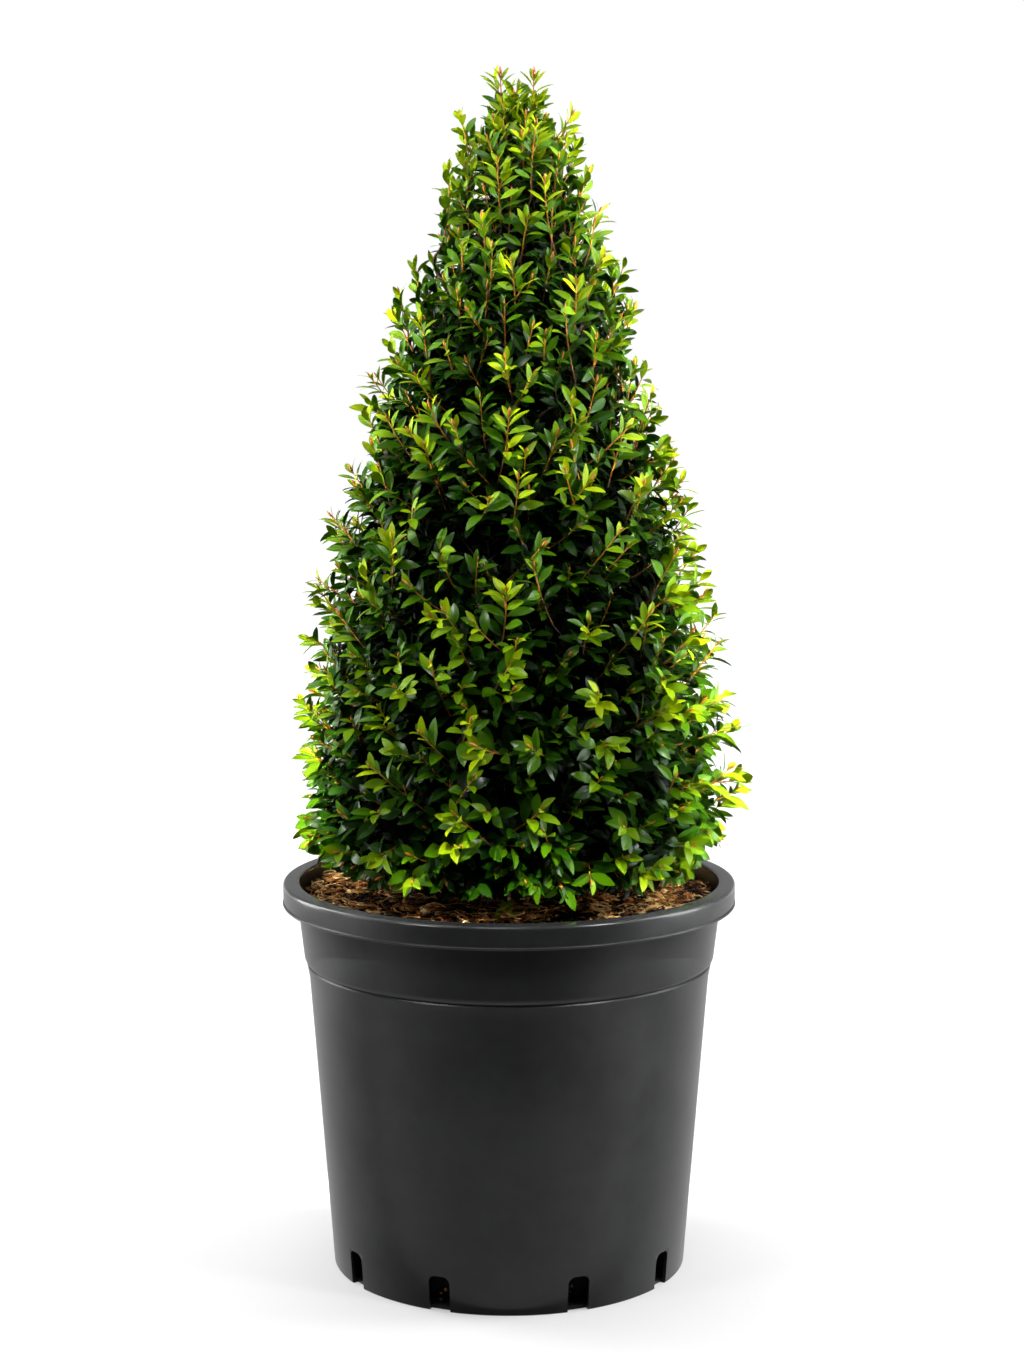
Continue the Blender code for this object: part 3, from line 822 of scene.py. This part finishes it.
def shootPlaces(layer, rng, number):
    # the source's golden spiral, which spreads the shoots evenly over the outline
    low, high = layer["low"], layer["high"]
    samples = 240
    rise = (high - low) / samples
    total = sum(shootsPerHeight(low + rise * (step + 0.5), layer["depth"]) for step in range(samples)) * rise
    height = low
    found = []
    for index in range(layer["count"]):
        turn = index * goldenTurn + number * 1.3 + rng.uniform(-0.09, 0.09)
        level = clamp(height + rng.uniform(-0.009, 0.009), low, high)
        stray = rng.uniform(*crown["outer"]) if rng.random() < crown["standOut"] else rng.uniform(*crown["inner"])
        stray -= crown["topCalm"] * crownShare(level) ** 2
        reach = crownRadius(level) - layer["depth"] + layer["spread"] * stray
        lift = liftAt(level) + math.radians(layer["lift"] + rng.uniform(-18, 16))
        if level < crown["skirtTop"]:
            lift -= math.radians(crown["skirtDroop"]) * (crown["skirtTop"] - level) / crown["skirtHeight"]
        direction = tilted(outward(turn + rng.uniform(-0.75, 0.75)), lift).normalized()
        found.append((crownMiddle(level) + outward(turn) * max(reach, 0.004), direction, level))
        height += total / layer["count"] / shootsPerHeight(height, layer["depth"])
    return found


def addLeaf(root, along, facing, length, tone, fine):
    for share, back in ((0.5, 0.0), (1.0, 0.1)):
        if not clearOfPot(root + along * length * share - facing * length * back):
            return
    # leaves that stand out of the outline are younger and paler, and are painted lighter still as a glow for light
    # passing through them; near the top, where they are younger, they are painted lighter for the light from above,
    # and within the outline and at the foot they are painted darker as shade
    end = root + along * length
    middle = crownMiddle(end.z)
    depth = crownRadius(end.z) - math.hypot(end.x - middle.x, end.y - middle.y)
    share = crownShare(end.z)
    surface = crown["edgeGlowTone"] - crown["topLightTone"] * share ** 1.5 + crown["footShadeTone"] * (1.0 - share) ** 10
    tone += clamp(0.5 * (surface + crown["depthShadeSlope"] * depth - tone), -1.0, 1.5)
    width = length * (leaf["wide"] + (leaf["narrow"] - leaf["wide"]) * crownShare(root.z))
    leafRows.append((root[:], along[:], facing[:], length, width, tone, fine))


def sidesOf(direction, light):
    across = direction.cross(light).normalized()
    return across, across.cross(direction).normalized()


def addPair(rng, place, direction, light, number, pair, size, tone, fine):
    # two opposite leaves, turned a quarter from the pair before, their faces drawn to the light
    across, towards = sidesOf(direction, light)
    turn = pair * math.pi / 2 + number
    for half in range(2):
        swing = turn + half * math.pi + rng.uniform(-0.22, 0.22)
        out = (across * math.cos(swing) + towards * math.sin(swing) * shoot["flatten"]).normalized()
        angle = math.radians(shoot["angles"][pair] + rng.uniform(-9, 9))
        along = (direction * math.cos(angle) + out * math.sin(angle)).normalized()
        folded = direction * math.sin(angle) - out * math.cos(angle)
        facing = folded * (1.0 - shoot["openness"]) + towards * shoot["openness"]
        facing = (facing - along * facing.dot(along)).normalized()
        facing = Matrix.Rotation(rng.uniform(-1, 1) * (0.35 + 0.45 * abs(math.sin(swing))), 3, along) @ facing
        length = leaf["length"] * size * rng.uniform(0.86, 1.12)
        addLeaf(place, along, facing, length, tone + rng.uniform(-0.45, 0.45), fine)


def growShoot(rng, tip, direction, layer, level, spin=None):
    # the stem bends up towards its tip; it is followed back from there, pair by pair
    # a leader is given its spin, faces the front and hardly droops
    leader = spin is not None
    growth = growthAt(level)
    middle = crownMiddle(tip.z)
    out = Vector((tip.x - middle.x, tip.y - middle.y, 0.0))
    out = Vector((0.0, -1.0, 0.0)) if leader or out.length <= 0.004 else out.normalized()
    light = (out * 0.72 + upright).normalized()
    droop = 0.08 if leader else rng.uniform(*shoot["droop"])
    sway = Vector([rng.uniform(-1, 1) for _ in range(3)]) * shoot["sway"]
    spin = spin if leader else math.pi / 4 + rng.uniform(-0.4, 0.4)
    share = crownShare(level)
    # shoots near the top are younger and paler and are also painted lighter for the light from above; those low down
    # are painted darker as shade
    tipTone = layer["tone"] + rng.uniform(-0.3, 0.8) - 1.1 * share ** 3 + 0.55 * (1.0 - share) ** 2
    place = tip - direction * shoot["overhang"] * growth
    bud = place + direction * 0.0015
    if layer["fine"] and clearOfPot(bud + direction * 0.011 * growth):
        budRows.append((bud[:], direction[:], growth * (1.5 if leader else rng.uniform(0.7, 1.25))))
    path = [bud]
    back = 0.0
    for pair in range(layer["pairs"]):
        step = shoot["spacing"][pair] * growth * rng.uniform(0.85, 1.2)
        back += step
        heading = (direction + sway * (back / 0.05) - upright * droop * (back / 0.08)).normalized()
        place = place - heading * step
        path.append(place)
        size = shoot["sizes"][pair] * growth * layer["size"]
        addPair(rng, place, heading, light, spin, pair, size, tipTone + shoot["tones"][pair], layer["fine"])
        if layer["fine"] and pair in (2, 3, 4) and rng.random() < shoot["sideShoots"]:
            growSideShoot(rng, place, heading, light, spin + pair * math.pi / 2, growth, tipTone)
    path.append(place - heading * 0.006)
    return path, heading


def growSideShoot(rng, place, heading, light, turn, growth, tone):
    # a short young sprout in a leaf's axil
    across, towards = sidesOf(heading, light)
    out = across * math.cos(turn) + towards * math.sin(turn)
    direction = (heading * 0.75 + out * 0.55 + light * 0.25).normalized()
    length = rng.uniform(0.009, 0.018) * growth
    top = place + direction * length
    if not clearOfPot(top + direction * 0.012):
        return
    stemRows["young"].append(([place, place + direction * length * 0.5, top], 0.0008, 0.0005))
    for pair, back in ((0, 0.0), (1, 0.006)):
        spot = top - direction * back * growth
        addPair(rng, spot, direction, light, turn, pair, growth * 0.85, tone - 0.3 + pair * 0.4, True)


def addStem(path, young):
    # evenly spaced points from the foot to the tip; a young stem is amber towards its tip and brown below
    points = np.array([tuple(point) for point in path[::-1]])
    run = np.concatenate([[0.0], np.cumsum(np.linalg.norm(np.diff(points, axis=0), axis=1))])
    at = np.linspace(0.0, run[-1], shoot["rings"])
    points = [Vector(spot) for spot in zip(*(np.interp(at, run, points[:, axis]) for axis in range(3)))]
    wide, narrow = shoot["radius"], shoot["tipRadius"]
    if not young:
        stemRows["old"].append((points, wide, narrow))
        return
    middle = wide + (narrow - wide) * 0.4
    stemRows["brown"].append((points[:5], wide, middle))
    stemRows["young"].append((points[4:], middle, narrow))


def growBoughs(rng):
    # limbs from the trunk towards the outline, on the same spiral
    joints = []
    for index in range(boughs["count"]):
        share = (index + 0.5) / boughs["count"]
        level = boughs["lowest"] + (boughs["highest"] - boughs["lowest"]) * share ** 1.12
        lift = max(liftAt(level + 0.05), math.radians(6)) + math.radians(rng.uniform(-5, 9))
        out = outward(index * goldenTurn)
        start = trunkAxis(min(level, trunk["top"] - 0.004))
        length = crownRadius(level + 0.04) * boughs["reach"] / math.cos(lift) * rng.uniform(0.85, 1.1)
        length = min(length, boughs["longest"], 0.45 * (crown["top"] - level))
        sway = Vector((rng.uniform(-1, 1), rng.uniform(-1, 1), 0.0)) * boughs["sway"]
        points = [start]
        for ring in range(1, boughs["rings"]):
            part = ring / (boughs["rings"] - 1)
            heading = (tilted(out, lift + boughs["curve"] * (part - 0.5)) + sway * part).normalized()
            points.append(points[-1] + heading * length / (boughs["rings"] - 1))
            joints.append((points[-1], heading))
        thick = min(trunkRadius(start.z) * 0.5, boughs["thickest"])
        stemRows["bough"].append((points, thick, boughs["tip"]))
    return joints + [(trunkAxis(height), upright) for height in (0.94, 0.96, 0.98, 1.0, 1.012)]


def linkTwig(base, heading, spots, ways):
    # a twig from the nearest fitting place on a bough to the foot of a shoot
    gap = np.array(base) - spots
    far = np.linalg.norm(gap, axis=1)
    fit = (gap @ np.array(heading)) / np.maximum(far, 1e-5)
    pick = int(np.argmin(far * (1.6 - fit) + np.where(far < 0.012, 0.05, 0.0)))
    start, way = Vector(spots[pick]), Vector(ways[pick])
    reach = (base - start).length
    pull = [start, start + way * reach * 0.35, base - heading * reach * 0.4, base]
    points = []
    for step in range(7):
        t = step / 6
        blend = ((1 - t) ** 3, 3 * t * (1 - t) ** 2, 3 * t * t * (1 - t), t ** 3)
        points.append(sum((spot * weight for spot, weight in zip(pull, blend)), Vector()))
        points[-1].z = max(points[-1].z, boughs["lowestTwig"])
    stemRows["old"].append((points, shoot["radius"] * 1.5, shoot["radius"]))


def leafTemplate(stations, columns, look):
    # a folded, arched blade: x runs from its stalk to its tip, y across, z up on its upper side
    shape = bmesh.new()
    bmesh.ops.create_grid(shape, x_segments=len(stations) - 1, y_segments=columns, size=1.0)
    for corner in shape.verts:
        run, wide = stations[round((corner.co.x + 1.0) / 2 * (len(stations) - 1))]
        side = corner.co.y
        across = side * wide
        rise = look["fold"] * abs(across) - look["cup"] * across * across
        rise += 0.25 * look["wave"] * math.sin(9 * run + 2 * side) * wide
        turned = look["twist"] * run
        arch = look["curl"] * run * run * 2.2 - look["curl"] * run * 0.7
        corner.co = (run, 0.5 * across * math.cos(turned), 0.5 * rise + 0.5 * across * math.sin(turned) - arch)
    bmesh.ops.remove_doubles(shape, verts=shape.verts, dist=0.0005)
    bmesh.ops.triangulate(shape, faces=shape.faces)
    return arraysFromShape(shape)


def joinLeaves(rows, template):
    corners, faces = template
    root, along, facing, length, width = rows
    points = root[:, None]
    for ways, sizes, column in ((along, length, 0), (np.cross(facing, along), width, 1), (facing, width, 2)):
        points = points + ways[:, None] * (corners[None, :, column, None] * sizes[:, None, None])
    triangles = faces[None] + (np.arange(len(root)) * len(corners))[:, None, None]
    return points.reshape(-1, 3), triangles.reshape(-1, 3)


def splitParts(parts, pieces):
    # shares the parts out so that each piece stays under the limit
    groups = [[] for _ in range(pieces)]
    for part in sorted(parts, key=lambda part: -len(part[1])):
        min(groups, key=lambda group: sum(len(faces) for _, faces in group)).append(part)
    return groups


def makeLeaves():
    *places, tone, fine = (np.array(column) for column in zip(*leafRows))
    tone = np.searchsorted([step for *_, step in tones], tone)
    look = np.arange(len(tone)) % len(leaf["shapes"])
    templates = [(grade == "fine", number, leafTemplate(leaf[grade], columns, shape))
                 for number, shape in enumerate(leaf["shapes"]) for grade, columns in (("fine", 4), ("coarse", 2))]
    for number, (name, colour, roughness, shine, _) in enumerate(tones):
        finish = Finish(name, colour, roughness, Specular_IOR_Level=shine)
        parts = []
        for isFine, shape, template in templates:
            chosen = (tone == number) & (look == shape) & (fine == isFine)
            if chosen.any():
                parts.append(joinLeaves([column[chosen] for column in places], template))
        pieces = math.ceil(sum(len(faces) for _, faces in parts) / leaf["mostFaces"])
        for piece, group in enumerate(splitParts(parts, pieces)):
            label = name if pieces == 1 else f"{name}{piece + 1}"
            mesh = meshFromArrays(label, *joinParts(group))
            smoothBelow(mesh, leaf["crease"])  # keeps the crease along each midrib
            addPiece(label, mesh, finish, "crown")


def makeStems():
    for kind, (name, finishName, colour, roughness, sides, slotName) in stems.items():
        groups = {}
        for points, wide, narrow in stemRows[kind]:
            groups.setdefault(len(points), []).append((points, wide, narrow))
        parts = []
        for count, rows in sorted(groups.items()):
            paths = np.array([[tuple(point) for point in points] for points, _, _ in rows])
            taper = np.linspace(0.0, 1.0, count)
            parts.append(tubes(paths, [wide + (narrow - wide) * taper for _, wide, narrow in rows], sides))
        mesh = meshFromArrays(name, *joinParts(parts))
        addPiece(name, mesh, Finish(finishName, colour, roughness), "crown")


def makeBuds():
    # a bronze spear between the youngest leaves
    paths, radii = [], []
    for place, direction, growth in budRows:
        place, direction = np.array(place), np.array(direction)
        paths.append([place + direction * shoot["bud"] * growth * part for part in (0.0, 0.3, 0.6, 0.85, 1.0)])
        radii.append([shoot["budRadius"] * growth * width for width in (0.6, 1.25, 1.2, 0.7, 0.12)])
    mesh = meshFromArrays("buds", *tubes(paths, radii, 6))
    addPiece("buds", mesh, Finish("budBronze", budBronze, 0.5), "crown")


# A seedling on the mulch in front
sprout = {"place": (-0.003, -0.13), "leaves": 14, "height": 0.01, "size": 0.008, "round": 0.6}


def makeSprout(rng):
    foot = Vector((*sprout["place"], mulchHeight(*sprout["place"]) + 0.001))
    for number in range(sprout["leaves"]):
        share = (number + 0.5) / sprout["leaves"]
        along = tilted(outward(number * goldenTurn), 0.25 + 1.0 * (1.0 - share))
        root = foot + along * 0.003 + upright * sprout["height"] * (1.0 - 0.5 * share)
        facing = (upright - along * along.z + Vector((0.0, -0.4, 0.0))).normalized()
        facing = (facing - along * facing.dot(along)).normalized()
        size = sprout["size"] * rng.uniform(0.75, 1.15)
        stemRows["young"].append(([foot, foot.lerp(root, 0.5) + along * 0.0005, root], 0.0005, 0.0004))
        leafRows.append((root[:], along[:], facing[:], size, size * sprout["round"], rng.uniform(-0.5, 0.5), True))


def makeCrown():
    rng = random.Random(crown["seed"])
    joints = growBoughs(rng)
    spots, ways = (np.array([tuple(joint[which]) for joint in joints]) for which in (0, 1))

    def plant(tip, direction, layer, level, spin=None):
        path, heading = growShoot(rng, tip, direction, layer, level, spin)
        addStem(path, layer["fine"])
        linkTwig(path[-1], heading, spots, ways)

    for number, layer in enumerate(layers):
        for tip, direction, level in shootPlaces(layer, rng, number):
            plant(tip, direction, layer, level)
    tops = [(Vector((across, -0.006, crown["leaderReach"])), Vector((lean, -0.1, 1.0)), 0.7)
            for across, lean in crown["leaders"]]
    for number in range(crown["topShoots"]):
        out = crown["topSpread"] * math.sqrt((number + 0.5) / crown["topShoots"])
        away = outward(number * goldenTurn + rng.uniform(-0.3, 0.3))
        fall = crown["topFall"] * (out / crown["topSpread"]) ** 1.8
        tip = crownMiddle(crown["topHeight"] - fall + rng.uniform(-0.01, 0.004)) + away * out
        tops.append((tip, upright + away * rng.uniform(0.05, 0.45), None))
    for tip, direction, spin in tops:
        plant(tip, direction.normalized(), dict(layers[0], tone=-0.3), tip.z, spin)
    makeSprout(rng)
    makeStems()
    makeBuds()
    makeLeaves()


# Studio: pale floor, white surroundings that are dimmer on the camera's side, soft lamps
studio = {
    "floorColour": (0.5, 0.5, 0.5),
    "nearGlow": (0.36, 0.36, 0.36),
    "farGlow": (0.76, 0.76, 0.76),
    "glowReach": (0.3, 2.6),
    "floorRadius": 8.0,
    "floorFront": -0.65,
    "front": 0.03,
    "back": 0.9,
    "above": 0.1,
    "calm": 0.7,  # takes this share from what is mirrored high up
}
# Each lamp: place, aim, width, height and watts, then spread and tilt in degrees and what it lights
lamps = (
    ("sideRight", (2.1, 0.15, 1.1), (0.0, 0.0, 0.65), 0.9, 2.4, 56.0),
    ("sideLeft", (-1.95, 0.95, 1.1), (0.0, 0.0, 0.65), 0.9, 2.4, 44.0),
    ("edgeRight", (2.0, -0.2, 1.2), (0.0, 0.0, 0.93), 0.8, 0.3, 2.3, 30, 0, "matte"),
    ("edgeLeft", (-2.0, -0.2, 1.2), (0.0, 0.0, 0.93), 0.8, 0.3, 3.9, 30, 0, "matte"),
    ("stripRight", (1.3, -1.6, 1.0), (0.215, -0.04, 0.53), 0.06, 0.22, 0.75, 8, 7, "matte"),
    ("stripUpper", (1.85, -1.0, 1.05), (0.16, 0.0, 0.78), 0.06, 0.7, 1.05, 10, 12, "matte"),
    ("stripLeft", (-1.3, -1.6, 0.9), (-0.24, -0.03, 0.51), 0.06, 0.14, 0.58, 7, -7, "matte"),
    ("overhead", (-0.25, 0.2, 3.0), (0.0, 0.0, 0.6), 1.5, 1.2, 28.0),
    ("topFront", (-0.2, -1.5, 2.7), (0.0, 0.0, 0.5), 0.8, 0.5, 7.5),
    ("topLeft", (-1.55, -1.2, 2.3), (0.0, 0.0, 0.5), 0.3, 0.5, 9.0),
    ("topRight", (1.55, -1.1, 2.3), (0.0, 0.0, 0.5), 0.3, 0.5, 14.0),
    ("glintLeft", (-1.55, -1.2, 2.3), (0.0, 0.0, 0.5), 0.4, 0.4, 34.0, 180, 0, "gloss"),
    ("glintRight", (1.55, -1.1, 2.3), (0.0, 0.0, 0.5), 0.4, 0.4, 54.0, 180, 0, "gloss"),
    ("bedGlow", (0.0, -1.35, 1.65), (0.0, -0.16, 0.385), 0.5, 0.02, 0.16, 2.6, 0, "matte"),
    ("floorSheen", (0.0, -0.41, 0.004), (0.0, -0.41, 1.0), 2.0, 0.46, 3.4, 180, 0, "gloss"),
)


def makeFloor():
    shape = bmesh.new()
    bmesh.ops.create_circle(shape, cap_ends=True, segments=96, radius=studio["floorRadius"])
    middle = Vector((0.0, studio["floorFront"] + studio["floorRadius"], 0.0))
    bmesh.ops.translate(shape, verts=shape.verts, vec=middle)
    floor = bpy.data.objects.new("floor", meshFromShape("floor", shape))
    scene.collection.objects.link(floor)
    pale = Finish("floorPale", studio["floorColour"], 0.9, Emission_Strength=1.0)
    away = pale.nodes.add("ShaderNodeVectorMath", {"operation": "LENGTH"}, {0: pale.place()}, 1)
    spread = pale.nodes.between(away, *studio["glowReach"])
    pale.set("Emission Color", pale.nodes.blend(spread, studio["nearGlow"], studio["farGlow"]))
    floor.data.materials.append(pale.material)
    floor.visible_glossy = False
    floor.visible_diffuse = False


def makeWorld():
    # the camera sees plain white; the plant is lit by a white that is dimmer in front
    world = bpy.data.worlds.new("studioWhite")
    scene.world = world
    world.use_nodes = True
    world.node_tree.nodes.clear()
    nodes = Nodes(world.node_tree)
    way = nodes.add("ShaderNodeTexCoord")
    depth, rise = (nodes.add("ShaderNodeSeparateXYZ", {}, {0: way}, axis) for axis in (1, 2))
    behind, above = nodes.between(depth, -0.75, 0.55), nodes.between(rise, 0.1, 0.9)
    strength = studio["front"] + behind * (studio["back"] - studio["front"]) + above * studio["above"]
    mirrored = nodes.add("ShaderNodeLightPath", output=3) * nodes.between(rise, -0.06, 0.1)
    strength = strength * (1.0 - mirrored * studio["calm"])
    lit, seen = (nodes.add("ShaderNodeBackground", {}, {"Color": (1.0, 1.0, 1.0, 1.0), "Strength": glow})
                 for glow in (strength, 1.0))
    both = nodes.add("ShaderNodeMixShader", {}, {0: nodes.add("ShaderNodeLightPath"), 1: lit, 2: seen})
    nodes.add("ShaderNodeOutputWorld", {}, {"Surface": both})


def makeLamps():
    for name, place, aim, wide, high, power, *more in lamps:
        spread, tilt, lights = more or (180, 0, "all")
        lamp = bpy.data.lights.new(name, "AREA")
        lamp.shape = "RECTANGLE"
        lamp.size = wide
        lamp.size_y = high
        lamp.energy = power
        lamp.spread = math.radians(spread)
        holder = bpy.data.objects.new(name, lamp)
        holder.location = place
        turn = (Vector(aim) - Vector(place)).to_track_quat("-Z", "Y").to_matrix()
        holder.rotation_euler = (turn @ Matrix.Rotation(math.radians(tilt), 3, "Z")).to_euler()
        holder.visible_camera = False
        holder.visible_glossy = lights != "matte"
        holder.visible_diffuse = lights != "gloss"
        scene.collection.objects.link(holder)


# The camera stands where the photo's did, worked out from the pot's ellipses
camera = {"place": (0.0029, -2.585, 0.916), "downDegrees": 7.43, "lens": 70.28}


def makeCamera():
    eye = bpy.data.cameras.new("photoCamera")
    eye.sensor_width = 36.0
    eye.lens = camera["lens"]
    holder = bpy.data.objects.new("photoCamera", eye)
    holder.location = camera["place"]
    holder.rotation_euler = (math.radians(90 - camera["downDegrees"]), 0.0, 0.0)
    scene.collection.objects.link(holder)
    scene.camera = holder
    scene.view_settings.view_transform = "Standard"


makeCamera()
makeFloor()
makeWorld()
makeLamps()
print("camera, floor and lamps are up")
makePot()
print("pot is turned and cut")
makeMulchBed()
makeMulch()
print("mulch is spread")
makeTrunk()
makeCrown()
print("crown is grown")
